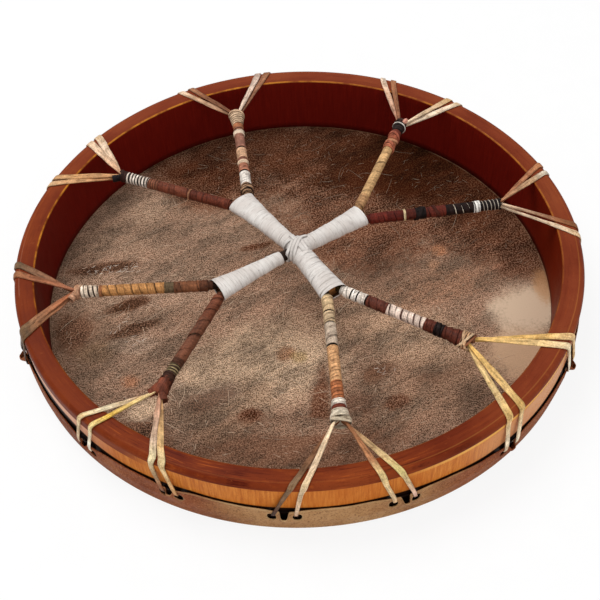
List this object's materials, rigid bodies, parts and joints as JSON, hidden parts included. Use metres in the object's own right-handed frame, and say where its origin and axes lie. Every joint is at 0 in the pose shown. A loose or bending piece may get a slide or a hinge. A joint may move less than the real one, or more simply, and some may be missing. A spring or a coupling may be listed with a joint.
{
  "type": "shaman drum",
  "caption": "Round wooden frame drum with a laced hide head, wrapped rawhide spokes and a cloth-bound cross grip in its open back.",
  "frame": {"origin": "centre of the playing face, on the outside of the skin", "axes": "+Z along the drum's axis from the playing face towards its open back, +X to the right and +Y away from the camera in the picture"},
  "size_m": [0.5091, 0.5089, 0.0708],
  "materials": {
    "hoop_wood": "red-brown stain, satin",
    "drumhead_hide": "untanned hide with short hair, mottled brown and grey",
    "lace_rawhide": "rawhide, tan to cream, half translucent",
    "wrap_lace": "wound lace, red-brown and tan in bands",
    "whipping_lace": "narrow wound lace, pale and dark turns",
    "grip_cotton": "white cotton tape, matt"
  },
  "bodies": {
    "root": {"centre_lashing": "grip_cotton", "drumhead": "drumhead_hide", "fork_whipping_1": "whipping_lace", "fork_whipping_2": "whipping_lace", "fork_whipping_3": "whipping_lace", "fork_whipping_4": "whipping_lace", "fork_whipping_5": "whipping_lace", "fork_whipping_6": "whipping_lace", "fork_whipping_7": "whipping_lace", "fork_whipping_8": "whipping_lace", "grip_core": "grip_cotton", "grip_wrap_1": "grip_cotton", "grip_wrap_2": "grip_cotton", "grip_wrap_3": "grip_cotton", "grip_wrap_4": "grip_cotton", "hoop": "hoop_wood", "lace_loop_1a": "lace_rawhide", "lace_loop_1b": "lace_rawhide", "lace_loop_2a": "lace_rawhide", "lace_loop_2b": "lace_rawhide", "lace_loop_3a": "lace_rawhide", "lace_loop_3b": "lace_rawhide", "lace_loop_4a": "lace_rawhide", "lace_loop_4b": "lace_rawhide", "lace_loop_5a": "lace_rawhide", "lace_loop_5b": "lace_rawhide", "lace_loop_6a": "lace_rawhide", "lace_loop_6b": "lace_rawhide", "lace_loop_7a": "lace_rawhide", "lace_loop_7b": "lace_rawhide", "lace_loop_8a": "lace_rawhide", "lace_loop_8b": "lace_rawhide", "spoke_wrap_1": "wrap_lace", "spoke_wrap_2": "wrap_lace", "spoke_wrap_3": "wrap_lace", "spoke_wrap_4": "wrap_lace", "spoke_wrap_5": "wrap_lace", "spoke_wrap_6": "wrap_lace", "spoke_wrap_7": "wrap_lace", "spoke_wrap_8": "wrap_lace"}
  },
  "joints": []
}
